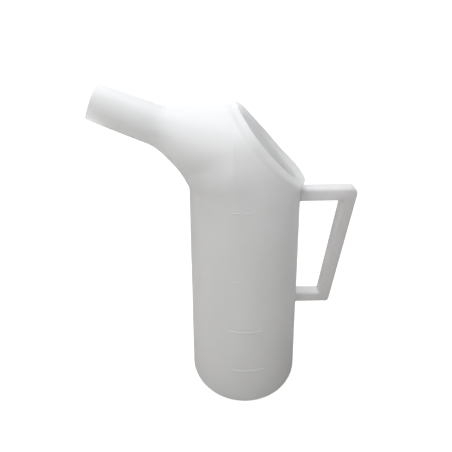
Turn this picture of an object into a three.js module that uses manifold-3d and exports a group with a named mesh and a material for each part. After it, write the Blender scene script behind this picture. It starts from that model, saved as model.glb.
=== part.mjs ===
// Open-mouthed milk jug for calves: a tapered vessel whose top bends into a level hood and a rising
// spout, a slanted mouth with a flared lip, a square-section handle and raised fill marks.
// Millimetres. +Z is up, the spout points along -X, the handle along +X, and the origin is the centre
// of the underside. The whole jug is one moulding, and each mesh here is one named section of it.
import * as THREE from 'three';
import { mergeVertices } from 'three/addons/utils/BufferGeometryUtils.js';
import Module from 'manifold-3d';

// ---- driving dimensions ----
const BASE_RADIUS = 60;
const BODY_TAPER = 0.049; // radius lost per millimetre of height
const SHOULDER_Z = 225.5; // top of the straight wall, where the hood starts
const HEEL_RADIUS = 4;
const BASE_HEIGHT = 7;
const WALL = 1.4;
const FLOOR = 1.8;
const SEAM_GAP = 0.3; // left between two sections that meet

const HOOD_TOP_Z = 298.1; // the level ridge of the hood
const BEND_FOOT = { x: -77.1, z: 268.5 }; // underside of the bend between hood and spout
const BEND_TOP_X = -62;
const THROAT_FOOT_Z = 232.7; // where the hollow curve under the spout meets the wall
const THROAT_ARC_RADIUS = 89;
const THROAT_SHARPNESS = 90; // how tightly the wall turns into that curve
const NECK_HALF_WIDTH = 17.1; // half the hood's width at the bend
const CROWN_SHARPNESS = 14; // how tightly the hood turns over at its back

const TIP_FOOT = { x: -126.3, z: 289.9 };
const TIP_TOP = { x: -112.4, z: 316.5 };
const TIP_HALF_WIDTH = 13.9;

const MOUTH_HEIGHT_AT_AXIS = 289.8; // the mouth slopes down towards the handle
const MOUTH_SLOPE = 1.2;
const MOUTH_HOLLOW = 0.0025;
const LIP_DEPTH = 5;
const LIP_FLARE = 3.4;

const HANDLE_DEPTH = 13;
const HANDLE_BAR = 12.3;
const UPPER_ARM_TOP = 227.5;
const LOWER_ARM_TOP = 107.2;
const GRIP_INSIDE_BOTTOM = 78.1; // x of the grip's inside face at the lower arm's underside
const GRIP_INSIDE_TOP = 88; // and at the upper arm's top
const GRIP_TOP_CORNER = 6;
const GRIP_BOTTOM_CORNER = 4;

const MARK_HEIGHT = 1.4;
const MARK_RISE = 0.7;
const MARK_STEP_LITRES = 0.5;
const NUMERAL_HEIGHT = 6.5;
const NUMERAL_LIFT = 6.5; // from the mark's line up to the numeral's foot

const AROUND = 64; // facets round a full section
const HOOD_STEPS = 16;
const LIP_STEPS = 64;

// ---- small helpers ----
const degrees = (angle) => (angle * Math.PI) / 180;
const mix = (a, b, t) => a + (b - a) * t;

const wasm = await Module();
wasm.setup();

function toManifold(geometry) {
  const bare = geometry.clone();
  bare.deleteAttribute('normal');
  bare.deleteAttribute('uv');
  const merged = mergeVertices(bare, 1e-4);
  const vertProperties = new Float32Array(merged.attributes.position.array);
  const triVerts = new Uint32Array(merged.index.array);
  return new wasm.Manifold(new wasm.Mesh({ numProp: 3, vertProperties, triVerts }));
}

function fromManifold(solid) {
  const mesh = solid.getMesh();
  const geometry = new THREE.BufferGeometry();
  geometry.setAttribute('position', new THREE.BufferAttribute(mesh.vertProperties, 3));
  geometry.setIndex(new THREE.BufferAttribute(mesh.triVerts, 1));
  geometry.computeVertexNormals();
  return geometry;
}

function cut(geometry, cutter) {
  return fromManifold(toManifold(geometry).subtract(toManifold(cutter)));
}

// A closed surface through a loop of rings: the last ring joins the first one.
function loftLoop(rings) {
  const count = rings[0].length;
  const index = [];
  for (let i = 0; i < rings.length; i += 1) {
    const next = (i + 1) % rings.length;
    for (let j = 0; j < count; j += 1) {
      const k = (j + 1) % count;
      const [a, b, c, d] = [i * count + j, i * count + k, next * count + k, next * count + j];
      index.push(a, b, c, a, c, d);
    }
  }
  const geometry = new THREE.BufferGeometry().setFromPoints(rings.flat());
  geometry.setIndex(index);
  if (signedVolume(geometry) < 0) {
    geometry.setIndex(index.reverse());
  }
  geometry.computeVertexNormals();
  return geometry;
}

function signedVolume(geometry) {
  const position = geometry.attributes.position;
  const corner = (n) => new THREE.Vector3().fromBufferAttribute(position, geometry.index.getX(n));
  let volume = 0;
  for (let n = 0; n < geometry.index.count; n += 3) {
    volume += corner(n).dot(corner(n + 1).cross(corner(n + 2))) / 6;
  }
  return volume;
}

// A pipe-like shell: outer rings one way, inner rings back, with a flat rim at each end.
function shell(ringAt, stations) {
  const outer = stations.map((station) => ringAt(station, 0));
  const inner = stations.map((station) => ringAt(station, WALL));
  return loftLoop([...outer, ...inner.reverse()]);
}

// A profile of (radius, height) points turned about the vertical axis.
function turned(points) {
  const profile = points.map(([radius, height]) => new THREE.Vector2(radius, height));
  return new THREE.LatheGeometry(profile, AROUND).rotateX(Math.PI / 2);
}

// A shape drawn in the X-Z plane, given the stated depth in Y and centred on Y = 0.
function plate(shape, depth) {
  const geometry = new THREE.ExtrudeGeometry(shape, { depth, bevelEnabled: false, curveSegments: 6 });
  return geometry.translate(0, 0, -depth / 2).rotateX(Math.PI / 2);
}

// ---- vessel: straight wall and base ----
const bodyRadius = (z) => BASE_RADIUS - BODY_TAPER * z;

function baseCup() {
  const heel = [0, 30, 60, 90].map((angle) => [
    bodyRadius(HEEL_RADIUS) - HEEL_RADIUS * (1 - Math.sin(degrees(angle))),
    HEEL_RADIUS * (1 - Math.cos(degrees(angle))),
  ]);
  const inside = bodyRadius(BASE_HEIGHT) - WALL;
  const corner = HEEL_RADIUS - WALL;
  return turned([
    [0, 0],
    ...heel,
    [bodyRadius(BASE_HEIGHT), BASE_HEIGHT],
    [inside, BASE_HEIGHT],
    [inside, FLOOR + corner],
    [inside - corner * 0.3, FLOOR + corner * 0.3],
    [inside - corner, FLOOR],
    [0, FLOOR],
  ]);
}

function bodyWall() {
  const low = BASE_HEIGHT + SEAM_GAP;
  const high = SHOULDER_Z - SEAM_GAP;
  return turned([
    [bodyRadius(low) - WALL, low],
    [bodyRadius(low), low],
    [bodyRadius(high), high],
    [bodyRadius(high) - WALL, high],
    [bodyRadius(low) - WALL, low],
  ]);
}

// ---- hood: elliptical sections in planes that swing about one line below the throat ----
// The line runs along Y where the plane of the wall's top meets the plane of the bend.
const BEND_RISE = HOOD_TOP_Z - BEND_FOOT.z;
const BEND_RUN = BEND_TOP_X - BEND_FOOT.x;
const BEND_ANGLE = Math.atan2(BEND_RISE, BEND_RUN);
const PIVOT_X = BEND_FOOT.x - (BEND_FOOT.z - SHOULDER_Z) / Math.tan(BEND_ANGLE);

// Centre of the throat's arc, which runs from the wall to the underside of the bend.
function throatCentre() {
  const start = new THREE.Vector2(-bodyRadius(THROAT_FOOT_Z), THROAT_FOOT_Z);
  const end = new THREE.Vector2(BEND_FOOT.x, BEND_FOOT.z);
  const chord = end.clone().sub(start);
  const reach = Math.sqrt(THROAT_ARC_RADIUS ** 2 - chord.lengthSq() / 4);
  const outward = new THREE.Vector2(-chord.y, chord.x).normalize();
  return start.add(end).multiplyScalar(0.5).addScaledVector(outward, reach);
}
const THROAT_CENTRE = throatCentre();

// The smaller of two lengths, with the corner between them rounded.
const lesser = (a, b, sharpness) => (a ** -sharpness + b ** -sharpness) ** (-1 / sharpness);

// Distances from the pivot line to the section's near side and far side.
function nearReach(angle) {
  const from = new THREE.Vector2(PIVOT_X, SHOULDER_Z).sub(THROAT_CENTRE);
  const along = from.x * Math.cos(angle) + from.y * Math.sin(angle);
  const toArc = -along + Math.sqrt(along ** 2 - from.lengthSq() + THROAT_ARC_RADIUS ** 2);
  const toWall = (-bodyRadius(SHOULDER_Z) - PIVOT_X) / (Math.cos(angle) - BODY_TAPER * Math.sin(angle));
  return lesser(toArc, toWall, THROAT_SHARPNESS);
}

function farReach(angle) {
  const toWall = (bodyRadius(SHOULDER_Z) - PIVOT_X) / (Math.cos(angle) + BODY_TAPER * Math.sin(angle));
  const toRidge = (HOOD_TOP_Z - SHOULDER_Z) / Math.max(Math.sin(angle), 1e-6);
  return lesser(toWall, toRidge, CROWN_SHARPNESS);
}

// Full width near the wall, then a smooth narrowing to the neck.
function hoodHalfWidth(angle) {
  const wallWidth = bodyRadius(SHOULDER_Z) + BODY_TAPER * PIVOT_X * Math.sin(angle);
  const narrowing = THREE.MathUtils.smoothstep(angle, degrees(12), BEND_ANGLE + degrees(4));
  const atBend = THREE.MathUtils.smoothstep(BEND_ANGLE, degrees(12), BEND_ANGLE + degrees(4));
  return mix(wallWidth, NECK_HALF_WIDTH, narrowing / atBend);
}

function hoodSection(angle) {
  const near = nearReach(angle);
  const far = farReach(angle);
  return { centre: (near + far) / 2, height: (far - near) / 2, width: hoodHalfWidth(angle) };
}

function hoodRing(angle, inset) {
  const { centre, height, width } = hoodSection(angle);
  return Array.from({ length: AROUND }, (_, j) => {
    const turn = (2 * Math.PI * j) / AROUND;
    const reach = centre + (height - inset) * Math.cos(turn);
    return new THREE.Vector3(
      PIVOT_X + reach * Math.cos(angle),
      (width - inset) * Math.sin(turn),
      SHOULDER_Z + reach * Math.sin(angle),
    );
  });
}

// ---- mouth: the hood is cut along a slightly hollow slope ----
const mouthHeight = (x) => MOUTH_HEIGHT_AT_AXIS - MOUTH_SLOPE * x + MOUTH_HOLLOW * x * x;
const MOUTH_NORMAL = new THREE.Vector2(MOUTH_SLOPE, 1).normalize();

// A point on the cut, moved down into the vessel by the depth.
function mouthSpot(x, depth) {
  const dx = x - depth * MOUTH_NORMAL.x;
  const dz = mouthHeight(x) - depth * MOUTH_NORMAL.y;
  const angle = Math.atan2(dz - SHOULDER_Z, dx - PIVOT_X);
  const reach = Math.hypot(dz - SHOULDER_Z, dx - PIVOT_X);
  return { x: dx, z: dz, angle, reach };
}

// 0 on the section's centre, 1 where the cut leaves the shell's wall.
function mouthFraction(x, depth, inset) {
  const spot = mouthSpot(x, depth);
  const { centre, height } = hoodSection(Math.max(spot.angle, 0));
  return (spot.reach - centre) / (height - inset);
}

function mouthEnd(inside, outside, depth, inset) {
  let [kept, lost] = [inside, outside];
  for (let step = 0; step < 40; step += 1) {
    const middle = (kept + lost) / 2;
    if (mouthFraction(middle, depth, inset) < 1) {
      kept = middle;
    } else {
      lost = middle;
    }
  }
  return kept;
}

function mouthRing(depth, inset) {
  const peak = mouthEnd(20, -40, depth, inset);
  const root = mouthEnd(20, 80, depth, inset);
  return Array.from({ length: LIP_STEPS }, (_, j) => {
    const turn = (2 * Math.PI * j) / LIP_STEPS;
    const x = mix(peak, root, (1 - Math.cos(turn)) / 2);
    const spot = mouthSpot(x, depth);
    const { width } = hoodSection(Math.max(spot.angle, 0));
    const side = Math.sqrt(Math.max(1 - mouthFraction(x, depth, inset) ** 2, 0));
    return new THREE.Vector3(spot.x, Math.sign(Math.sin(turn)) * (width - inset) * side, spot.z);
  });
}

function mouthCutter(depth) {
  const shape = new THREE.Shape();
  const steps = 12;
  for (let step = 0; step <= steps; step += 1) {
    const spot = mouthSpot(mix(-30, 75, step / steps), depth);
    shape[step === 0 ? 'moveTo' : 'lineTo'](spot.x, spot.z);
  }
  shape.lineTo(90, 360);
  shape.lineTo(-30, 360);
  return plate(shape, 3 * BASE_RADIUS);
}

function hood() {
  const angles = Array.from({ length: HOOD_STEPS + 1 }, (_, i) => (BEND_ANGLE * i) / HOOD_STEPS);
  return cut(shell(hoodRing, angles), mouthCutter(LIP_DEPTH));
}

// The lip leaves the cut edge and flares outwards to the rim.
function mouthLip() {
  const rise = (depth, inset, flare) => {
    const outer = mouthRing(depth, 0);
    const inner = mouthRing(depth, WALL);
    return outer.map((point, j) => {
      const outward = point.clone().sub(inner[j]).normalize();
      return (inset > 0 ? inner[j] : point).clone().addScaledVector(outward, flare);
    });
  };
  const foot = LIP_DEPTH - SEAM_GAP;
  return loftLoop([
    rise(foot, 0, 0),
    rise(LIP_DEPTH / 2, 0, LIP_FLARE * 0.3),
    rise(0, 0, LIP_FLARE),
    rise(0, WALL, LIP_FLARE),
    rise(LIP_DEPTH / 2, WALL, LIP_FLARE * 0.3),
    rise(foot, WALL, 0),
  ]);
}

// ---- spout: a tapering tube from the bend to a tip that is cut nearly square ----
function spoutRing(along, inset) {
  const top = new THREE.Vector2(mix(BEND_TOP_X, TIP_TOP.x, along), mix(HOOD_TOP_Z, TIP_TOP.z, along));
  const foot = new THREE.Vector2(mix(BEND_FOOT.x, TIP_FOOT.x, along), mix(BEND_FOOT.z, TIP_FOOT.z, along));
  const centre = top.clone().add(foot).multiplyScalar(0.5);
  const up = top.clone().sub(foot).normalize();
  const height = top.distanceTo(foot) / 2 - inset;
  const width = mix(NECK_HALF_WIDTH, TIP_HALF_WIDTH, along) - inset;
  return Array.from({ length: AROUND }, (_, j) => {
    const turn = (2 * Math.PI * j) / AROUND;
    const rise = height * Math.cos(turn);
    return new THREE.Vector3(centre.x + up.x * rise, width * Math.sin(turn), centre.y + up.y * rise);
  });
}

function spout() {
  const length = TIP_TOP.z - HOOD_TOP_Z;
  return shell(spoutRing, [SEAM_GAP / length, 0.5, 1]);
}

// ---- handle: two level arms and a sloping grip, flat-faced and square in section ----
const GRIP_FOOT = LOWER_ARM_TOP - HANDLE_BAR;
const GRIP_LENGTH = UPPER_ARM_TOP - GRIP_FOOT;
const gripInside = (z) => mix(GRIP_INSIDE_BOTTOM, GRIP_INSIDE_TOP, (z - GRIP_FOOT) / GRIP_LENGTH);
const gripOutside = (z) => gripInside(z) + HANDLE_BAR;

function grip() {
  const low = GRIP_FOOT;
  const high = UPPER_ARM_TOP;
  const lowCurve = low + GRIP_BOTTOM_CORNER;
  const highCurve = high - GRIP_TOP_CORNER;
  const shape = new THREE.Shape();
  shape.moveTo(gripInside(low), low);
  shape.lineTo(gripOutside(low) - GRIP_BOTTOM_CORNER, low);
  shape.quadraticCurveTo(gripOutside(low), low, gripOutside(lowCurve), lowCurve);
  shape.lineTo(gripOutside(highCurve), highCurve);
  shape.quadraticCurveTo(gripOutside(high), high, gripOutside(high) - GRIP_TOP_CORNER, high);
  shape.lineTo(gripInside(high), high);
  return plate(shape, HANDLE_DEPTH);
}

// An arm starts inside the wall's outline and is trimmed to it.
function arm(top) {
  const bottom = top - HANDLE_BAR;
  const shape = new THREE.Shape();
  shape.moveTo(bodyRadius(top) - 5, bottom);
  shape.lineTo(gripInside(bottom) - SEAM_GAP, bottom);
  shape.lineTo(gripInside(top) - SEAM_GAP, top);
  shape.lineTo(bodyRadius(top) - 5, top);
  const margin = 20;
  const wallOutline = turned([
    [0, bottom - margin],
    [bodyRadius(bottom - margin) + SEAM_GAP, bottom - margin],
    [bodyRadius(top + margin) + SEAM_GAP, top + margin],
    [0, top + margin],
  ]);
  return cut(plate(shape, HANDLE_DEPTH), wallOutline);
}

// ---- raised fill marks on the front ----
// Height at which the vessel holds the stated volume, from the frustum of its inside.
function fillHeight(litres) {
  const floorRadius = bodyRadius(FLOOR) - WALL;
  const cube = floorRadius ** 3 - (3 * BODY_TAPER * litres * 1e6) / Math.PI;
  return FLOOR + (floorRadius - Math.cbrt(cube)) / BODY_TAPER;
}

// A curved bar on the wall. Angles are from the middle of the front, positive towards the handle.
function frontBar(low, high, fromAngle, toAngle) {
  const radius = bodyRadius(low) + SEAM_GAP / 2;
  const start = degrees(fromAngle - 90);
  const end = degrees(toAngle - 90);
  const shape = new THREE.Shape();
  shape.absarc(0, 0, radius + MARK_RISE, start, end, false);
  shape.absarc(0, 0, radius, end, start, true);
  const depth = high - low;
  const geometry = new THREE.ExtrudeGeometry(shape, { depth, bevelEnabled: false, curveSegments: 8 });
  return geometry.translate(0, 0, low);
}

function fillMark(step, fromAngle, toAngle) {
  const z = fillHeight(step * MARK_STEP_LITRES);
  return frontBar(z - MARK_HEIGHT / 2, z + MARK_HEIGHT / 2, fromAngle, toAngle);
}

// A plain upright stroke on the wall: the numeral of the third mark.
function numeralStroke(low) {
  const stroke = new THREE.BoxGeometry(1.2, MARK_RISE, NUMERAL_HEIGHT);
  const reach = bodyRadius(low) + SEAM_GAP / 2 + MARK_RISE / 2;
  return stroke.translate(0, -reach, low + NUMERAL_HEIGHT / 2).rotateZ(degrees(-1.8));
}

// ---- assembly ----
const plastic = (color, roughness) => new THREE.MeshStandardMaterial({ color, roughness, metalness: 0 });

function piece(name, geometry, material) {
  const mesh = new THREE.Mesh(geometry, material);
  mesh.name = name;
  return mesh;
}

const vessel = new THREE.Group();
vessel.add(
  piece('base_cup', baseCup(), plastic(0xd8d8d8, 0.45)),
  piece('body_wall', bodyWall(), plastic(0xe2e2e0, 0.42)),
  piece('hood', hood(), plastic(0xeeeef0, 0.4)),
  piece('mouth_lip', mouthLip(), plastic(0xf2f2f5, 0.38)),
  piece('spout', spout(), plastic(0xececee, 0.4)),
);

const handle = new THREE.Group();
handle.add(
  piece('handle_upper_arm', arm(UPPER_ARM_TOP), plastic(0xdedee0, 0.42)),
  piece('handle_lower_arm', arm(LOWER_ARM_TOP), plastic(0xdedee0, 0.42)),
  piece('handle_grip', grip(), plastic(0xd8d6d6, 0.45)),
);

const scale = new THREE.Group();
const markPlastic = plastic(0xf4f4f6, 0.4);
scale.add(
  piece('fill_mark_1', fillMark(1, -14, 19), markPlastic),
  piece('fill_mark_2', fillMark(2, -16, 16), markPlastic),
  piece('fill_mark_3', fillMark(3, -14, -5.5), markPlastic),
  piece('fill_mark_4_left', fillMark(4, -14.5, -6.5), markPlastic),
  piece('fill_mark_4_right', fillMark(4, -3, 5), markPlastic),
  piece('numeral_one', numeralStroke(fillHeight(3 * MARK_STEP_LITRES) + NUMERAL_LIFT), markPlastic),
);

const jug = new THREE.Group();
jug.add(vessel, handle, scale);

export default jug;
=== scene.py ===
import math

import bpy
import numpy as np
from mathutils import Matrix, Vector


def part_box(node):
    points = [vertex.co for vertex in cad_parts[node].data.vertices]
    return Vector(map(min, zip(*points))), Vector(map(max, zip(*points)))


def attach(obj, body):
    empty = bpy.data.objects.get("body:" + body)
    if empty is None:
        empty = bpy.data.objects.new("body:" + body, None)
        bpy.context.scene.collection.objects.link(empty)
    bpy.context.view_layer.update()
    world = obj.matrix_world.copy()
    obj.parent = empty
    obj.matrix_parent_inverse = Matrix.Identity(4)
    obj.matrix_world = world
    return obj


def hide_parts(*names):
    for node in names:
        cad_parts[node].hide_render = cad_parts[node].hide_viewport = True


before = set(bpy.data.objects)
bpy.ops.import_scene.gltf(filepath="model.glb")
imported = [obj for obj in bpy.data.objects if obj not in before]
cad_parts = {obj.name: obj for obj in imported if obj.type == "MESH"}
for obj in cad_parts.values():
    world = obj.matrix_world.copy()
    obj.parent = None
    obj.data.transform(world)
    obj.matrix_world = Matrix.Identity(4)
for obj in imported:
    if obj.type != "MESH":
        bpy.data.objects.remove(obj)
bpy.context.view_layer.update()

# The jug is one moulding, and every piece here is a section of it. The hood, lip and spout share one
# skin, defined by skin_point() below, and meet the straight wall on common rings.
# Metres; +Z up, spout along -X, handle along +X.

# ---- driving dimensions ----
SHOULDER_Z = 0.2255  # top of the straight wall
BASE_RADIUS = 0.060
BODY_TAPER = 0.049
HEEL_RADIUS = 0.004
WALL = 0.0014
FLOOR = 0.0018

RIDGE_Z = 0.2981
BEND_FOOT = (-0.0771, 0.2685)
BEND_TOP = (-0.0620, RIDGE_Z)
THROAT_ARC_RADIUS = 0.089
NECK_HALF_WIDTH = 0.0171
CROWN_SHARPNESS = 14
THROAT_FOOT_Z = 0.2327  # where the hollow curve under the spout meets the wall
THROAT_SHARPNESS = 90

TIP_FOOT = (-0.1263, 0.2899)
TIP_TOP = (-0.1124, 0.3165)
TIP_HALF_WIDTH = 0.0139
TIP_SKEW = 0.11  # the tip is cut a little aslant: its far side reaches further out

MOUTH_HEIGHT_AT_AXIS = 0.2898
MOUTH_SLOPE = 1.2
MOUTH_HOLLOW = 2.5  # per metre
LIP_DEPTH = 0.005
BEVEL_DEPTH = 0.0042  # the lip's inside face is bevelled down to a thin rim
RIM_THICKNESS = 0.0004

SIDE_EDGE_X = -0.010
SIDE_EDGE_Z = (0.236, 0.262)  # it fades out between these heights
SIDE_EDGE_RISE = 0.0022
SIDE_EDGE_WIDTH = 0.010
SIDE_EDGE_ROUNDING = 0.0012

HANDLE_DEPTH = 0.013
HANDLE_BAR = 0.0123
GRIP_OUTER_CORNERS = (0.006, 0.004)  # top, bottom
GRIP_INNER_CORNER = 0.0012
HANDLE_EDGE = 0.0026
GRIP_RUN = 0.0099  # how far the grip leans out over its height
ROOT_FILLET = 0.0012

# ---- mesh fineness ----
AROUND = 160
WALL_ROWS = 60
MOUTH_ROWS = 72
SPOUT_ROWS = 26

STEP = 1e-4  # for slopes worked out by differences


def mix(a, b, t):
    return a + (b - a) * t


def smoothstep(low, high, x):
    t = np.clip((x - low) / (high - low), 0.0, 1.0)
    return t * t * (3.0 - 2.0 * t)


def normalised(vectors):
    return vectors / np.linalg.norm(vectors, axis=-1, keepdims=True)


# ---- the skin: wall, hood and spout ----
BEND_ANGLE = math.atan2(BEND_TOP[1] - BEND_FOOT[1], BEND_TOP[0] - BEND_FOOT[0])
PIVOT_X = BEND_FOOT[0] - (BEND_FOOT[1] - SHOULDER_Z) / math.tan(BEND_ANGLE)
NARROWING = (math.radians(12), BEND_ANGLE + math.radians(4))
SHOULDER_BLEND = math.radians(0.8)  # the corner under the throat is rounded over this swing
SHOULDER_BLEND_HEIGHT = 0.0005
BEND_BLEND = math.radians(4)  # the kink between hood and spout, likewise
BEND_BLEND_ALONG = 0.06


def body_radius(z):
    return BASE_RADIUS - BODY_TAPER * z


def throat_centre():
    """Centre of the arc from the wall to the underside of the bend."""
    start = np.array([-body_radius(THROAT_FOOT_Z), THROAT_FOOT_Z])
    end = np.array(BEND_FOOT)
    chord = end - start
    reach = math.sqrt(THROAT_ARC_RADIUS**2 - chord @ chord / 4)
    outward = np.array([-chord[1], chord[0]]) / np.linalg.norm(chord)
    return (start + end) / 2 + outward * reach


THROAT = np.array([PIVOT_X, SHOULDER_Z]) - throat_centre()


def lesser(a, b, sharpness):
    """The smaller of two lengths, with the corner between them rounded."""
    return (a**-sharpness + b**-sharpness) ** (-1 / sharpness)


def near_reach(angle):
    """Distance from the pivot line to the throat side: up the wall first, then round the throat."""
    along = THROAT[0] * np.cos(angle) + THROAT[1] * np.sin(angle)
    to_arc = -along + np.sqrt(along**2 - THROAT @ THROAT + THROAT_ARC_RADIUS**2)
    to_wall = (-body_radius(SHOULDER_Z) - PIVOT_X) / (np.cos(angle) - BODY_TAPER * np.sin(angle))
    return lesser(to_arc, to_wall, THROAT_SHARPNESS)


def far_reach(angle):
    """Distance from the pivot line to the back of the wall or the ridge, whichever comes first."""
    to_wall = (body_radius(SHOULDER_Z) - PIVOT_X) / (np.cos(angle) + BODY_TAPER * np.sin(angle))
    to_ridge = (RIDGE_Z - SHOULDER_Z) / np.maximum(np.sin(angle), 1e-6)
    return lesser(to_wall, to_ridge, CROWN_SHARPNESS)


def hood_section(angle):
    """Centre, half-height and half-width of the elliptical section at this swing."""
    near, far = near_reach(angle), far_reach(angle)
    wall_width = body_radius(SHOULDER_Z) + BODY_TAPER * PIVOT_X * np.sin(angle)
    narrowing = smoothstep(*NARROWING, angle) / smoothstep(*NARROWING, BEND_ANGLE)
    return (near + far) / 2, (far - near) / 2, mix(wall_width, NECK_HALF_WIDTH, narrowing)


def hood_point(angle, turn):
    centre, height, width = hood_section(angle)
    reach = centre + height * np.cos(turn)
    return np.stack(
        [PIVOT_X + reach * np.cos(angle), width * np.sin(turn), SHOULDER_Z + reach * np.sin(angle)], axis=-1
    )


def wall_point(z, turn):
    radius = body_radius(z)
    return np.stack([radius * np.cos(turn), radius * np.sin(turn), z + 0 * turn], axis=-1)


def spout_point(along, turn):
    top = [mix(a, b, along) for a, b in zip(BEND_TOP, TIP_TOP)]
    foot = [mix(a, b, along) for a, b in zip(BEND_FOOT, TIP_FOOT)]
    rise = (1 + np.cos(turn)) / 2
    side = mix(NECK_HALF_WIDTH, TIP_HALF_WIDTH, along) * np.sin(turn)
    skew = TIP_SKEW * side * along**2
    return np.stack([mix(foot[0], top[0], rise) - skew, side, mix(foot[1], top[1], rise) + skew / 3], axis=-1)


def eased(start, corner, end, t):
    """A corner rounded off by a parabola."""
    t = t[..., None]
    return (1 - t) ** 2 * start + 2 * t * (1 - t) * corner + t**2 * end


def smooth_skin(station, turn):
    """-1..0 rounds the shoulder, 0..1 is the hood, 1..2 rounds the bend, 2..3 is the spout."""
    station, turn = np.broadcast_arrays(np.asarray(station, float), np.asarray(turn, float))
    shoulder = eased(
        wall_point(SHOULDER_Z - SHOULDER_BLEND_HEIGHT + 0 * turn, turn),
        hood_point(0 * turn, turn),
        hood_point(SHOULDER_BLEND + 0 * turn, turn),
        np.clip(station + 1, 0, 1),
    )
    hood = hood_point(hood_angle(np.clip(station, 0, 1)), turn)
    bend = eased(
        hood_point(BEND_ANGLE - BEND_BLEND + 0 * turn, turn),
        hood_point(BEND_ANGLE + 0 * turn, turn),
        spout_point(BEND_BLEND_ALONG + 0 * turn, turn),
        np.clip(station - 1, 0, 1),
    )
    spout = spout_point(mix(BEND_BLEND_ALONG, 1.0, station - 2), turn)
    choice = np.digitize(station, [0.0, 1.0, 2.0])[..., None]
    return np.select([choice == 0, choice == 1, choice == 2], [shoulder, hood, bend], spout)


def hood_angle(station):
    return mix(SHOULDER_BLEND, BEND_ANGLE - BEND_BLEND, station)


def hood_station(angle):
    return (angle - SHOULDER_BLEND) / (BEND_ANGLE - BEND_BLEND - SHOULDER_BLEND)


# ---- the mouth and its flared lip ----
def mouth_height(x):
    return MOUTH_HEIGHT_AT_AXIS - MOUTH_SLOPE * x + MOUTH_HOLLOW * x * x


def mouth_distance(points):
    """How far a point lies below the mouth's cut."""
    x, z = points[..., 0], points[..., 2]
    slope = -MOUTH_SLOPE + 2 * MOUTH_HOLLOW * x
    return (mouth_height(x) - z) / np.sqrt(1 + slope**2)


FLARE_X = (-0.010, 0.002, 0.032, 0.046)  # peak, side, towards the back, back
FLARE_RISE = (0.0028, 0.0013, 0.0017, 0.0038)
FLARE_WIDTH = (0.0066, 0.0070, 0.0062, 0.0070)
FLARE_BAND = (0.9, 0.0, 0.0, 0.1)  # 0 for an even trumpet, 1 for a step with a level band above it


def along_lip(x, values):
    ease = [smoothstep(a, b, x) for a, b in zip(FLARE_X, FLARE_X[1:])]
    total = values[0] + 0 * x
    for share, before, after in zip(ease, values, values[1:]):
        total = total + share * (after - before)
    return total


def flare(points):
    width = along_lip(points[..., 0], FLARE_WIDTH)
    share = np.maximum(1 - mouth_distance(points) / width, 0.0)
    band = along_lip(points[..., 0], FLARE_BAND)
    return along_lip(points[..., 0], FLARE_RISE) * mix(share**1.25, smoothstep(0.0, 0.6, share), band)


def front_edge(points, turn):
    """The soft upright edge on each side where the round wall ends and the hood starts to lean over."""
    x, z = points[..., 0], points[..., 2]
    away = np.sqrt((x - SIDE_EDGE_X) ** 2 + SIDE_EDGE_ROUNDING**2) - SIDE_EDGE_ROUNDING
    share = np.exp(-away / SIDE_EDGE_WIDTH) * np.sin(turn) ** 2
    return SIDE_EDGE_RISE * share * smoothstep(*SIDE_EDGE_Z, z)


UNEVENNESS = 0.00005


def undulation(points):
    """The slow unevenness of a blown wall, a tenth of a millimetre at most."""
    x, y, z = (points[..., i] for i in range(3))
    waves = np.sin(71 * x + 23 * z + 1.3) * np.sin(64 * y - 31 * z + 0.4)
    waves = waves + 0.6 * np.sin(130 * x - 90 * y + 47 * z) + 0.4 * np.sin(210 * z + 60 * y)
    return UNEVENNESS * waves


def skin_slopes(station, turn, surface):
    ahead = surface(station + STEP, turn) - surface(station, turn)
    aside = surface(station, turn + STEP) - surface(station, turn - STEP)
    return normalised(np.cross(aside, ahead))


def skin_point(station, turn):
    plain = smooth_skin(station, turn)
    outward = skin_slopes(station, turn, smooth_skin)
    rise = flare(plain) + undulation(plain) + front_edge(plain, turn)
    return plain + outward * rise[..., None]


def skin_normal(station, turn):
    return skin_slopes(station, turn, skin_point)


# ---- mesh building ----
def make_object(name, points, faces, corner_normals, material):
    """One mesh object at the origin, its vertices in the row frame, with its own shading normals."""
    mesh = bpy.data.meshes.new(name)
    mesh.from_pydata([tuple(p) for p in points], [], faces)
    mesh.validate()
    mesh.polygons.foreach_set("use_smooth", [True] * len(mesh.polygons))
    mesh.normals_split_custom_set([tuple(n) for n in corner_normals])
    mesh.materials.append(material)
    piece = bpy.data.objects.new(name, mesh)
    bpy.context.scene.collection.objects.link(piece)
    return piece


class Skin:
    """Collects faces of one closed piece, each corner with its own normal."""

    def __init__(self):
        self.points, self.faces, self.normals = [], [], []

    def add_points(self, points):
        first = len(self.points)
        self.points.extend(np.asarray(points).reshape(-1, 3))
        return first + np.arange(len(self.points) - first)

    def add_face(self, corners, normals):
        kept = [(c, n) for i, (c, n) in enumerate(zip(corners, normals)) if c != corners[i - 1]]
        if len(kept) > 2:
            self.faces.append([int(c) for c, _ in kept])
            self.normals.extend(n for _, n in kept)

    def sheet(self, index, normals, flip=False):
        """Quads over a grid of vertex numbers, shaded by a grid of normals."""
        rows, columns = index.shape
        for i in range(rows - 1):
            for j in range(columns - 1):
                cells = [(i, j), (i, j + 1), (i + 1, j + 1), (i + 1, j)]
                if flip:
                    cells.reverse()
                self.add_face([index[c] for c in cells], [normals[c] for c in cells])

    def strip(self, first, second, flip=False):
        """A flat-shaded band between two lines of vertices."""
        for j in range(len(first) - 1):
            corners = [first[j], first[j + 1], second[j + 1], second[j]]
            if flip:
                corners.reverse()
            a, b, c, d = (self.points[k] for k in corners)
            normal = np.cross(c - a, d - b)
            length = np.linalg.norm(normal)
            if length > 0:
                self.add_face(corners, [normal / length] * 4)

    def finish(self, name, material):
        return make_object(name, self.points, self.faces, self.normals, material)


def closed(index):
    """Joins a grid's last column to its first."""
    return np.concatenate([index[:, :-1], index[:, :1]], axis=1)


def full_turn():
    return np.linspace(0, 2 * math.pi, AROUND + 1)


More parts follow.
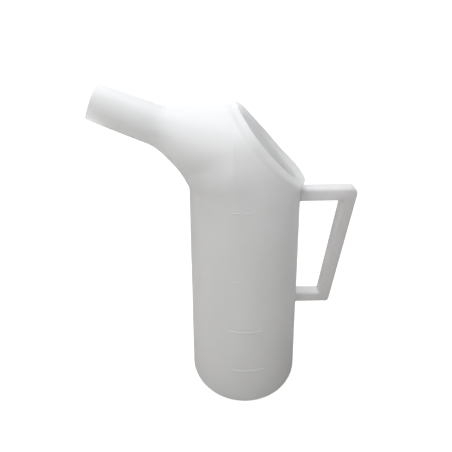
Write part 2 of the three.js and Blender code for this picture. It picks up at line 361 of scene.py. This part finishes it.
def shell_piece(name, outer, normals, material, end=None):
    """A tube-like section: outer skin, inner skin and flat joints, or a round rim at its far end."""
    skin = Skin()
    inner = outer - WALL * normals
    outside = closed(skin.add_points(outer).reshape(outer.shape[:2]))
    inside = closed(skin.add_points(inner).reshape(inner.shape[:2]))
    skin.sheet(outside, normals)
    skin.sheet(inside, -normals, flip=True)
    skin.strip(inside[0], outside[0])
    if end is None:
        skin.strip(inside[-1], outside[-1], flip=True)
    else:
        rounded_rim(skin, outside[-1], inside[-1], outer[-1], normals[-1], end)
    return skin.finish(name, material)


def rounded_rim(skin, outside, inside, edge, normals, outward, thickness=WALL, steps=6):
    """A half-round edge from the outer skin's last line to the inner skin's."""
    middle = edge - thickness / 2 * normals
    lines, shades = [outside], [normals]
    for angle in np.linspace(0, math.pi, steps + 1)[1:-1]:
        shade = math.cos(angle) * normals + math.sin(angle) * outward
        lines.append(closed(skin.add_points(middle + thickness / 2 * shade)[None])[0])
        shades.append(shade)
    skin.sheet(np.array(lines + [inside]), np.array(shades + [-normals]))


# ---- straight wall ----
BASE_TOP = (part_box("base_cup")[1].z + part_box("body_wall")[0].z) / 2


def wall_skin(z, turn):
    plain = wall_point(z, turn)
    outward = normalised(np.stack([np.cos(turn), np.sin(turn), BODY_TAPER + 0 * turn], axis=-1))
    calm_at_heel = smoothstep(HEEL_RADIUS, 6 * HEEL_RADIUS, z)
    return plain + outward * (undulation(plain) * calm_at_heel)[..., None]


def grid(stations):
    return np.meshgrid(stations, full_turn(), indexing="ij")


def body_wall(material):
    z, turn = grid(np.linspace(BASE_TOP, SHOULDER_Z - SHOULDER_BLEND_HEIGHT, WALL_ROWS))
    outer, normals = wall_skin(z, turn), skin_slopes(z, turn, wall_skin)
    station, turn = grid(np.array([-0.75, -0.5]))
    outer = np.concatenate([outer, skin_point(station, turn)])
    normals = np.concatenate([normals, skin_normal(station, turn)])
    return shell_piece("moulded_wall", outer, normals, material)


# ---- base ----
def turned_rows(profile):
    """Rings of points and normals from (radius, height, slope angle of the normal) rows."""
    radius, height, lean = (np.array(column)[:, None] for column in zip(*profile))
    turn = full_turn()[None]
    points = np.stack([radius * np.cos(turn), radius * np.sin(turn), height + 0 * turn], axis=-1)
    normals = np.stack(
        [np.cos(lean) * np.cos(turn), np.cos(lean) * np.sin(turn), np.sin(lean) + 0 * turn], axis=-1
    )
    return points, normals


def base_cup(material):
    wall_lean = math.atan(BODY_TAPER)
    down = -math.pi / 2
    heel = [
        (
            body_radius(HEEL_RADIUS) - HEEL_RADIUS * (1 - math.cos(lean)),
            HEEL_RADIUS * (1 + math.sin(lean)),
            lean,
        )
        for lean in np.linspace(down, 0, 13)
    ]
    foot = heel[0][0]
    profile = [(0, 0, down), (foot * 0.5, 0, down), (foot * 0.9, 0, down), *heel]
    profile += [(body_radius(z), z, wall_lean) for z in np.linspace(HEEL_RADIUS, BASE_TOP, 4)[1:]]
    outer, normals = turned_rows(profile)
    corner = HEEL_RADIUS - WALL
    inside_radius = body_radius(HEEL_RADIUS) - WALL - corner
    inner_profile = [(body_radius(BASE_TOP) - WALL, BASE_TOP, math.pi + wall_lean)]
    inner_profile += [
        (
            inside_radius + corner * math.cos(lean),
            FLOOR + corner * (1 - math.sin(lean)),
            math.pi - lean,
        )
        for lean in np.linspace(0, math.pi / 2, 9)
    ]
    inner_profile += [(inside_radius * 0.5, FLOOR, math.pi / 2), (0, FLOOR, math.pi / 2)]
    inner, inner_normals = turned_rows(inner_profile)
    skin = Skin()
    outside = closed(skin.add_points(outer).reshape(outer.shape[:2]))
    inside = closed(skin.add_points(inner).reshape(inner.shape[:2]))
    for rows in (outside, inside):
        tip = 0 if rows is outside else -1
        rows[tip] = rows[tip, 0]
    skin.sheet(outside, normals)
    skin.sheet(inside, inner_normals)
    skin.strip(outside[-1], inside[0])
    return skin.finish("moulded_base", material)


# ---- hood and lip ----
def mouth_spot(x, depth):
    """Swing and reach of a point on the mouth's cut, moved down into the vessel by the depth."""
    slope = -MOUTH_SLOPE + 2 * MOUTH_HOLLOW * x
    down = np.stack([slope, -np.ones_like(slope)]) / np.sqrt(1 + slope**2)
    dx = x + depth * down[0] - PIVOT_X
    dz = mouth_height(x) + depth * down[1] - SHOULDER_Z
    return np.arctan2(dz, dx), np.hypot(dz, dx)


def mouth_fraction(x, depth):
    """0 at the middle of the section, 1 where the cut leaves the skin."""
    angle, reach = mouth_spot(x, depth)
    centre, height, _ = hood_section(np.maximum(angle, 0.0))
    return (reach - centre) / height


def mouth_end(inside, outside, depth):
    kept, lost = np.array(float(inside)), np.array(float(outside))
    for _ in range(60):
        middle = (kept + lost) / 2
        if mouth_fraction(middle, depth) < 1:
            kept = middle
        else:
            lost = middle
    return kept


def mouth_line(depth):
    """Stations and turns of one side of the mouth's edge, from the peak to the back."""
    peak, back = mouth_end(0.02, -0.04, depth), mouth_end(0.02, 0.08, depth)
    x = mix(peak, back, (1 - np.cos(np.linspace(0, math.pi, MOUTH_ROWS + 1))) / 2)
    angle, _ = mouth_spot(x, depth)
    turn = np.arccos(np.clip(mouth_fraction(x, depth), -1, 1))
    turn[0] = turn[-1] = 0.0
    return hood_station(angle), turn


def hood(material):
    edge_station, edge_turn = mouth_line(LIP_DEPTH)
    low = np.linspace(-0.5, edge_station[-1], 6)[:-1]
    high = np.linspace(edge_station[0], 1.0, 34)[1:]
    bend = np.linspace(1.0, 1.5, 7)[1:]
    stations = np.concatenate([low, edge_station[::-1], high, bend])
    opening = np.concatenate([0 * low, edge_turn[::-1], 0 * high, 0 * bend])
    share = full_turn()[None] / (2 * math.pi)
    turn = opening[:, None] + share * (2 * math.pi - 2 * opening[:, None])
    station = stations[:, None] + 0 * share
    outer, normals = skin_point(station, turn), skin_normal(station, turn)
    inner = outer - WALL * normals
    skin = Skin()
    outside = skin.add_points(outer).reshape(outer.shape[:2])
    inside = skin.add_points(inner).reshape(inner.shape[:2])
    for index in (outside, inside):
        index[opening == 0, -1] = index[opening == 0, 0]
    skin.sheet(outside, normals)
    skin.sheet(inside, -normals, flip=True)
    skin.strip(inside[0], outside[0])
    skin.strip(outside[-1], inside[-1])
    first, last = len(low), len(low) + MOUTH_ROWS + 1
    for side, flip in ((0, False), (-1, True)):
        skin.strip(outside[first:last, side], inside[first:last, side], flip=flip)
    return skin.finish("moulded_hood", material)


def mouth_ring(depth):
    station, turn = mouth_line(depth)
    station = np.concatenate([station, station[-2::-1]])
    turn = np.concatenate([2 * math.pi - turn, turn[-2::-1]])
    return skin_point(station, turn), skin_normal(station, turn)


def mouth_lip(material):
    """The last few millimetres below the rim, with a bevel inside that ends in a thin rounded edge."""
    depths = np.concatenate([[LIP_DEPTH], np.linspace(BEVEL_DEPTH, RIM_THICKNESS / 2, 13)])
    rings = [mouth_ring(depth) for depth in depths]
    outer = np.stack([points for points, _ in rings])
    normals = np.stack([shades for _, shades in rings])
    rise = np.gradient(outer, axis=0)
    rise = normalised(rise - (rise * normals).sum(-1, keepdims=True) * normals)
    share = (BEVEL_DEPTH - depths[1:]) / (BEVEL_DEPTH - depths[-1])
    thickness = np.concatenate([[WALL], mix(WALL, RIM_THICKNESS, share)])[:, None, None]
    slope = (WALL - RIM_THICKNESS) / (BEVEL_DEPTH - depths[-1])
    skin = Skin()
    outside = closed(skin.add_points(outer).reshape(outer.shape[:2]))
    inside = closed(skin.add_points(outer - thickness * normals).reshape(outer.shape[:2]))
    skin.sheet(outside, normals)
    skin.sheet(inside[:2], -normals[:2], flip=True)
    skin.sheet(inside[1:], normalised(slope * rise - normals)[1:], flip=True)
    skin.strip(inside[0], outside[0])
    rounded_rim(skin, outside[-1], inside[-1], outer[-1], normals[-1], rise[-1], RIM_THICKNESS)
    return skin.finish("moulded_lip", material)


# ---- spout ----
def spout(material):
    station, turn = grid(np.concatenate([np.linspace(1.5, 2.0, 7), np.linspace(2.0, 3.0, SPOUT_ROWS)[1:]]))
    outer, normals = skin_point(station, turn), skin_normal(station, turn)
    rise = outer[-1] - outer[-2]
    rise = rise - (rise * normals[-1]).sum(-1, keepdims=True) * normals[-1]
    return shell_piece("moulded_spout", outer, normals, material, end=normalised(rise))


# ---- handle: a square bar with rounded edges, bent round two corners ----
ARM_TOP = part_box("handle_upper_arm")[1].z
GRIP_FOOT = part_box("handle_lower_arm")[0].z
GRIP_INSIDE_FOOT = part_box("handle_grip")[0].x
GRIP_LEAN = math.atan2(GRIP_RUN, ARM_TOP - GRIP_FOOT)  # from upright


def grip_line_x(offset, z):
    """X of the grip's inside face, or of a line that far outside it, at this height."""
    return GRIP_INSIDE_FOOT + (z - GRIP_FOOT) * math.tan(GRIP_LEAN) + offset


def corner_arc(line_offset, z, radius, upward):
    """Centre of the arc that joins a level face at z to the sloping face at that offset."""
    level = z - upward * radius
    return np.array([grip_line_x(line_offset, level) - radius / math.cos(GRIP_LEAN), level])


def handle_stations():
    """(inner, outer) pairs of (x, z) round both corners, from the upper arm's end to the lower arm's."""
    top_radius, bottom_radius = GRIP_OUTER_CORNERS
    upright = -GRIP_LEAN
    pairs = []
    for radius, upward, z_out, angles in (
        (top_radius, 1, ARM_TOP, np.linspace(math.pi / 2, upright, 13)),
        (bottom_radius, -1, GRIP_FOOT, np.linspace(upright, -math.pi / 2, 13)),
    ):
        outer_centre = corner_arc(HANDLE_BAR, z_out, radius, upward)
        inner_centre = corner_arc(0.0, z_out - upward * HANDLE_BAR, GRIP_INNER_CORNER, upward)
        for angle in angles:
            way = np.array([math.cos(angle), math.sin(angle)])
            pairs.append((inner_centre + GRIP_INNER_CORNER * way, outer_centre + radius * way))
    return pairs


def bar_outline(steps=5):
    """Points and normals of a rounded square, as shares of half-width and half-depth plus the edge arc."""
    rows = []
    for quarter, (side_u, side_v) in enumerate(((1, 1), (-1, 1), (-1, -1), (1, -1))):
        for angle in np.linspace(0, math.pi / 2, steps + 1) + quarter * math.pi / 2:
            rows.append((side_u, side_v, math.cos(angle), math.sin(angle)))
    return np.array(rows)


OUTLINE = bar_outline()


def bar_ring(inner, outer, swell=0.0):
    """One section of the bar between an inner and an outer (x, z) point, as (x, y, z) points."""
    across = outer - inner
    half = np.linalg.norm(across) / 2 + swell
    way = across / np.linalg.norm(across)
    middle = (inner + outer) / 2
    edge = HANDLE_EDGE
    u = OUTLINE[:, 0] * (half - edge) + OUTLINE[:, 2] * edge
    v = OUTLINE[:, 1] * (HANDLE_DEPTH / 2 + swell - edge) + OUTLINE[:, 3] * edge
    return np.stack([middle[0] + u * way[0], v, middle[1] + u * way[1]], axis=-1)


def arm_rings(top, inner_end, outer_end, upper):
    """Rings from just inside the wall to the corner, with a small fillet where the arm leaves the wall."""
    length = inner_end[0] - body_radius(top - HANDLE_BAR / 2)
    bends = ROOT_FILLET * (1 - np.cos(np.linspace(0, math.pi / 2, 8)))
    distances = np.concatenate([[-0.5 * WALL], bends, np.linspace(ROOT_FILLET, length, 8)[1:]])
    face = (np.array([0.0, top - HANDLE_BAR]), np.array([0.0, top]))
    rings = []
    for distance in distances:
        gap = max(ROOT_FILLET - max(distance, 0.0), 0.0)
        swell = ROOT_FILLET - math.sqrt(max(ROOT_FILLET**2 - gap**2, 0.0))
        ring = bar_ring(*(face if upper else face[::-1]), swell)
        y, z = ring[:, 1], ring[:, 2]
        at_wall = np.sqrt(body_radius(z) ** 2 - y**2)
        inner_z, outer_z = inner_end[1], outer_end[1]
        at_corner = mix(inner_end[0], outer_end[0], (z - inner_z) / (outer_z - inner_z))
        share = distance / length
        ring[:, 0] = mix(at_wall, at_corner, share) if distance > 0 else at_wall + distance
        rings.append(ring)
    return rings


def lofted_bar(name, rings, material):
    """A closed bar through the rings, smooth along its faces and flat at its two ends."""
    rings = np.array(rings)
    ahead = np.gradient(rings, axis=0)
    around = np.roll(rings, -1, axis=1) - np.roll(rings, 1, axis=1)
    normals = normalised(np.cross(ahead, around))
    middle = rings.mean(axis=1, keepdims=True)
    if ((rings - middle) * normals).sum() < 0:
        normals = -normals
    outward_order = (np.cross(around, ahead) * normals).sum() > 0
    normals = np.concatenate([normals, normals[:, :1]], axis=1)
    skin = Skin()
    index = skin.add_points(rings).reshape(rings.shape[:2])
    index = np.concatenate([index, index[:, :1]], axis=1)
    skin.sheet(index, normals, flip=not outward_order)
    for row, way in ((0, rings[0] - rings[1]), (-1, rings[-1] - rings[-2])):
        centre = skin.add_points(rings[row].mean(axis=0))[0]
        facing = normalised(way.mean(axis=0))
        for j in range(index.shape[1] - 1):
            corners = [index[row, j], index[row, j + 1], centre]
            if (row == 0) == outward_order:
                corners.reverse()
            skin.add_face(corners, [facing] * 3)
    return skin.finish(name, material)


def handle(material):
    pairs = handle_stations()
    upper = arm_rings(ARM_TOP, *pairs[0], upper=True)
    lower = arm_rings(GRIP_FOOT + HANDLE_BAR, *pairs[-1], upper=False)
    grip_rings = [bar_ring(*pair) for pair in pairs]
    top_corner, bottom_corner = grip_rings[12], grip_rings[13]
    along = np.linspace(0, 1, 14)[1:-1]
    straight = [mix(top_corner, bottom_corner, share) for share in along]
    rings = grip_rings[:13] + straight + grip_rings[13:]
    return {
        "handle_upper_arm": lofted_bar("moulded_upper_arm", upper, material),
        "handle_grip": lofted_bar("moulded_grip", rings, material),
        "handle_lower_arm": lofted_bar("moulded_lower_arm", lower, material),
    }


# ---- raised fill marks ----
CAD_MARK_REACH = 0.00085  # how far the marks' outer faces stand off the wall in the frame
MARK_RISE = 0.0003
MARK_HALF_HEIGHT = 0.00045
MARK_TAPER = 0.0016  # over this length an end fades into the wall
MARK_END = 0.1  # the share of its section that an end keeps


def eased_line(start, end, count=40):
    """Numbers from start to end, closer together near both ends."""
    return mix(start, end, (1 - np.cos(np.linspace(0, math.pi, count))) / 2)


def raised_line(name, turn, z, material):
    """A low rounded ridge along a path on the wall, half sunk into it and fading out at both ends."""
    path = wall_skin(z, turn)
    outward = normalised(np.stack([np.cos(turn), np.sin(turn), BODY_TAPER + 0 * turn], axis=-1))
    across = normalised(np.cross(outward, np.gradient(path, axis=0)))
    walked = np.concatenate([[0.0], np.cumsum(np.linalg.norm(np.diff(path, axis=0), axis=-1))])
    to_end = np.minimum(walked, walked[-1] - walked) / MARK_TAPER
    fade = np.sqrt(1 - (1 - np.clip(to_end, 0.0, 1.0)) ** 2)[:, None, None]
    angle = np.linspace(0, 2 * math.pi, 16, endpoint=False)[None, :, None]
    section = MARK_HALF_HEIGHT * np.cos(angle) * across[:, None]
    section = section + MARK_RISE * np.sin(angle) * outward[:, None]
    return lofted_bar(name, path[:, None] + mix(MARK_END, 1.0, fade) * section, material)


def fill_mark(node, material):
    low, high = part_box(node)
    z = (low.z + high.z) / 2
    reach = body_radius(low.z) + CAD_MARK_REACH
    turn = eased_line(*(math.asin(x / reach) - math.pi / 2 for x in (low.x, high.x)))
    return raised_line(f"raised_{node}", turn, z + 0 * turn, material)


def numeral(node, material):
    low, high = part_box(node)
    z = eased_line(low.z, high.z)
    turn = math.atan2(low.y + high.y, low.x + high.x)
    return raised_line(f"raised_{node}", turn + 0 * z, z, material)


# ---- materials ----
class Nodes:
    """Builds one node material, with coordinates in metres that run through every piece."""

    def __init__(self, name):
        self.material = bpy.data.materials.new(name)
        self.material.use_nodes = True
        self.tree = self.material.node_tree
        self.shader = self.tree.nodes["Principled BSDF"]
        self.output = self.tree.nodes["Material Output"]
        self.place = self.tree.nodes.new("ShaderNodeTexCoord").outputs["Object"]

    def add(self, kind, inputs=(), **settings):
        node = self.tree.nodes.new(kind)
        for key, value in settings.items():
            setattr(node, key, value)
        for key, value in dict(inputs).items():
            if isinstance(value, bpy.types.NodeSocket):
                self.tree.links.new(value, node.inputs[key])
            else:
                node.inputs[key].default_value = value
        return node

    def scaled(self, scale):
        return self.add("ShaderNodeMapping", {"Vector": self.place, "Scale": scale}).outputs[0]

    def noise(self, scale, detail=2.0, roughness=0.5, stretch=(1, 1, 1)):
        inputs = {"Vector": self.scaled(stretch), "Scale": scale, "Detail": detail, "Roughness": roughness}
        return self.add("ShaderNodeTexNoise", inputs).outputs["Fac"]

    def ramp(self, value, low, high, to_low=0.0, to_high=1.0):
        inputs = {"Value": value, "From Min": low, "From Max": high, "To Min": to_low, "To Max": to_high}
        node = self.add("ShaderNodeMapRange", inputs, interpolation_type="SMOOTHSTEP")
        return node.outputs["Result"]

    def maths(self, operation, a, b):
        return self.add("ShaderNodeMath", {0: a, 1: b}, operation=operation).outputs[0]

    def blend(self, share, a, b):
        inputs = {"Factor": share, "A": a, "B": b}
        node = self.tree.nodes.new("ShaderNodeMix")
        node.data_type = "RGBA"
        for socket in node.inputs:
            if socket.enabled and socket.name in inputs:
                value = inputs[socket.name]
                if isinstance(value, bpy.types.NodeSocket):
                    self.tree.links.new(value, socket)
                else:
                    socket.default_value = value
        return next(socket for socket in node.outputs if socket.enabled)

    def bump(self, height, strength, distance, before=None):
        inputs = {"Height": height, "Strength": strength, "Distance": distance}
        if before is not None:
            inputs["Normal"] = before
        return self.add("ShaderNodeBump", inputs).outputs["Normal"]


# Scales are per metre, and the ones with three numbers stretch a pattern along Z.
CLOUD_SCALE = 26
RUN_SCALES = (120, 120, 9)
RUN_SHARE = 0.35
GRAIN_SCALE = 95.0
GRAIN_CUT = 0.86  # only the cells whose random value is above this hold a grain
GRAIN_SHARE = 0.25
GRAIN_COLOUR = (0.45, 0.43, 0.38, 1)
FLECK = (-0.0287, -0.0481, 0.0809)  # one small dark spot moulded into the wall
FLECK_RADIUS = 0.0006
FLECK_SHARE = 0.6
FLECK_COLOUR = (0.25, 0.24, 0.22, 1)
SCUFF_SCALES = (700, 700, 60)
SCUFF_PATCH_SCALE = 18
SCUFF_ROUGHNESS = 0.12
SHEEN_SCALE = 60
SKIN_BUMPS = ((620, 0.35, 0.00012), (70, 0.3, 0.0003))  # scale, strength, height: fine, then coarse
SCUFF_BUMP = (0.2, 0.00006)
THROUGH_SHARE = 0.75  # how far light that comes through the wall takes this colour
THROUGH_COLOUR = (0.97, 0.975, 0.985, 1)


def milky_plastic(name, colour, tint, translucency, roughness):
    """Blown polyethylene: slightly cloudy, with an orange-peel skin, faint run lines and scuffs."""
    nodes = Nodes(name)
    cloud = nodes.noise(CLOUD_SCALE, detail=3)
    runs = nodes.noise(1.0, detail=3, stretch=RUN_SCALES)
    pale = (*colour, 1)
    deep = (*(c * t for c, t in zip(colour, tint)), 1)
    base = nodes.blend(nodes.ramp(cloud, 0.3, 0.7), deep, pale)
    base = nodes.blend(nodes.ramp(runs, 0.42, 0.62, 0.0, RUN_SHARE), base, deep)

    # specks: a few tiny darker grains in the plastic, and the one fleck that shows clearly
    grains = nodes.add("ShaderNodeTexVoronoi", {"Vector": nodes.place, "Scale": GRAIN_SCALE})
    cell_value = nodes.add("ShaderNodeSeparateColor", {0: grains.outputs["Color"]}).outputs[0]
    rare = nodes.maths("GREATER_THAN", cell_value, GRAIN_CUT)
    speck = nodes.maths("MULTIPLY", nodes.ramp(grains.outputs["Distance"], 0.05, 0.025), rare)
    base = nodes.blend(nodes.maths("MULTIPLY", speck, GRAIN_SHARE), base, GRAIN_COLOUR)
    away = nodes.add("ShaderNodeVectorMath", {0: nodes.place, 1: FLECK}, operation="DISTANCE")
    fleck = nodes.ramp(away.outputs["Value"], FLECK_RADIUS, FLECK_RADIUS / 2, 0.0, FLECK_SHARE)
    base = nodes.blend(fleck, base, FLECK_COLOUR)

    scuffs = nodes.ramp(nodes.noise(1.0, detail=4, roughness=0.6, stretch=SCUFF_SCALES), 0.58, 0.66)
    worn = nodes.maths("MULTIPLY", scuffs, nodes.ramp(nodes.noise(SCUFF_PATCH_SCALE), 0.45, 0.65))
    rough = nodes.ramp(nodes.noise(SHEEN_SCALE), 0.3, 0.7, roughness - 0.05, roughness + 0.07)
    rough = nodes.maths("ADD", rough, nodes.maths("MULTIPLY", worn, SCUFF_ROUGHNESS))

    normal = None
    for scale, strength, height in SKIN_BUMPS:
        normal = nodes.bump(nodes.noise(scale, detail=2), strength, height, normal)
    normal = nodes.bump(worn, *SCUFF_BUMP, normal)

    shader = nodes.shader
    for key, value in (("Base Color", base), ("Roughness", rough), ("Normal", normal)):
        nodes.tree.links.new(value, shader.inputs[key])
    shader.inputs["IOR"].default_value = 1.5
    shader.inputs["Specular IOR Level"].default_value = 0.4
    glow = nodes.blend(THROUGH_SHARE, base, THROUGH_COLOUR)
    through = nodes.add("ShaderNodeBsdfTranslucent", {"Color": glow, "Normal": normal})
    blend = nodes.add(
        "ShaderNodeMixShader", {"Fac": translucency, 1: shader.outputs[0], 2: through.outputs[0]}
    )
    nodes.tree.links.new(blend.outputs[0], nodes.output.inputs["Surface"])
    return nodes.material


PLASTICS = {  # colour, tint of its deeper patches, share of light let through, roughness
    "milky_wall": ((0.955, 0.955, 0.955), (0.97, 0.97, 0.965), 0.62, 0.4),
    "milky_handle": ((0.83, 0.825, 0.825), (0.97, 0.965, 0.96), 0.52, 0.42),
    "raised_marks": ((0.94, 0.945, 0.95), (0.98, 0.98, 0.98), 0.4, 0.36),
}
wall_plastic, handle_plastic, mark_plastic = (milky_plastic(name, *look) for name, look in PLASTICS.items())


# ---- assembly: every piece stands for its node of the frame ----
def place(piece, node, slot):
    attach(piece, "root")
    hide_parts(node)


for make in (base_cup, body_wall, hood, mouth_lip, spout):
    place(make(wall_plastic), make.__name__, "milky_wall")

for node, piece in handle(handle_plastic).items():
    place(piece, node, "milky_handle")

for node in ("fill_mark_1", "fill_mark_2", "fill_mark_3", "fill_mark_4_left", "fill_mark_4_right"):
    place(fill_mark(node, mark_plastic), node, "raised_marks")
place(numeral("numeral_one", mark_plastic), "numeral_one", "raised_marks")


# ---- studio: floor, light, camera ----
FLOOR_LOW = (-3.0, -2.0)
FLOOR_HIGH = (3.0, 6.0)
FLOOR_SHADES = ((0.33, 0.31, 0.28, 1), (0.35, 0.33, 0.30, 1))
FLOOR_GLOW = 0.85
BACKDROP = 1.2  # brightness of the air where the camera sees it
FILL = 0.24  # brightness of the air as a light, at the far left
FILL_END = 0.3  # it has faded to nothing at this X of its direction
COOL_WHITE = (0.96, 0.975, 1.0)
WARM_WHITE = (1.0, 0.995, 0.98)

CAMERA_PLACE = (-0.014347, -0.279722, 0.357888)
CAMERA_YAW = 0.010550
CAMERA_PITCH = -0.546332  # below level
CAMERA_ROLL = -0.022943
FOCAL_LENGTH = 27.444  # millimetres, as is the sensor's width
SENSOR_WIDTH = 36


def studio_floor():
    """A wide floor that glows to the camera alone, so it looks white and shows no shadow of the jug."""
    (left, front), (right, back) = FLOOR_LOW, FLOOR_HIGH
    mesh = bpy.data.meshes.new("floor")
    corners = [(left, front, 0), (right, front, 0), (right, back, 0), (left, back, 0)]
    mesh.from_pydata(corners, [], [(0, 1, 2, 3)])
    nodes = Nodes("floor")
    shade = nodes.blend(nodes.ramp(nodes.noise(3.0, detail=3), 0.3, 0.7), *FLOOR_SHADES)
    nodes.tree.links.new(shade, nodes.shader.inputs["Base Color"])
    nodes.shader.inputs["Roughness"].default_value = 0.9
    nodes.shader.inputs["Specular IOR Level"].default_value = 0.1
    nodes.shader.inputs["Emission Color"].default_value = (1, 1, 1, 1)
    seen = nodes.maths("MULTIPLY", nodes.add("ShaderNodeLightPath").outputs["Is Camera Ray"], FLOOR_GLOW)
    nodes.tree.links.new(seen, nodes.shader.inputs["Emission Strength"])
    mesh.materials.append(nodes.material)
    floor = bpy.data.objects.new("floor", mesh)
    bpy.context.scene.collection.objects.link(floor)


def soft_light(name, strength, spread, turn, colour):
    """A broad even light from far off, straight down unless turned."""
    lamp = bpy.data.lights.new(name, "SUN")
    lamp.energy = strength
    lamp.angle = math.radians(spread)
    lamp.color = colour
    light = bpy.data.objects.new(name, lamp)
    light.rotation_euler = [math.radians(angle) for angle in turn]
    bpy.context.scene.collection.objects.link(light)


def soft_box(name, power, size, place, target, colour):
    """A square glowing panel, brighter on what is near it."""
    lamp = bpy.data.lights.new(name, "AREA")
    lamp.energy = power
    lamp.size = size
    lamp.color = colour
    light = bpy.data.objects.new(name, lamp)
    light.location = place
    light.rotation_euler = (Vector(target) - Vector(place)).to_track_quat("-Z", "Y").to_euler()
    bpy.context.scene.collection.objects.link(light)


def studio_air():
    """White where it is seen behind the floor, and only a weak fill, from the left, as a light."""
    world = bpy.data.worlds.new("studio")
    world.use_nodes = True
    tree = world.node_tree
    path = tree.nodes.new("ShaderNodeLightPath")
    strength = tree.nodes.new("ShaderNodeMapRange")
    strength.inputs["To Max"].default_value = BACKDROP
    background = tree.nodes["Background"]
    background.inputs["Color"].default_value = (1, 1, 1, 1)
    direction = tree.nodes.new("ShaderNodeSeparateXYZ")
    tree.links.new(tree.nodes.new("ShaderNodeTexCoord").outputs["Generated"], direction.inputs[0])
    fill = tree.nodes.new("ShaderNodeMapRange")
    fill.inputs["From Min"].default_value = -1.0
    fill.inputs["From Max"].default_value = FILL_END
    fill.inputs["To Min"].default_value = FILL
    fill.inputs["To Max"].default_value = 0.0
    tree.links.new(direction.outputs["X"], fill.inputs["Value"])
    tree.links.new(fill.outputs["Result"], strength.inputs["To Min"])
    tree.links.new(path.outputs["Is Camera Ray"], strength.inputs["Value"])
    tree.links.new(strength.outputs["Result"], background.inputs["Strength"])
    bpy.context.scene.world = world


def studio_camera():
    lens = bpy.data.cameras.new("camera")
    lens.lens = FOCAL_LENGTH
    lens.sensor_width = SENSOR_WIDTH
    lens.clip_start = 0.01
    lens.clip_end = 100
    camera = bpy.data.objects.new("camera", lens)
    camera.matrix_world = (
        Matrix.Translation(CAMERA_PLACE)
        @ Matrix.Rotation(CAMERA_YAW, 4, "Z")
        @ Matrix.Rotation(math.pi / 2 + CAMERA_PITCH, 4, "X")
        @ Matrix.Rotation(CAMERA_ROLL, 4, "Z")
    )
    bpy.context.scene.collection.objects.link(camera)
    bpy.context.scene.camera = camera


studio_floor()
soft_light("overhead", strength=3.6, spread=44, turn=(0, -2, 0), colour=COOL_WHITE)
soft_light("behind", strength=1.3, spread=60, turn=(-65, 0, 0), colour=COOL_WHITE)
soft_box("front", power=3.9, size=0.5, place=(-0.56, -0.66, 0.80), target=(0, 0, 0.22), colour=WARM_WHITE)
studio_air()
studio_camera()
bpy.context.scene.view_settings.view_transform = "Standard"
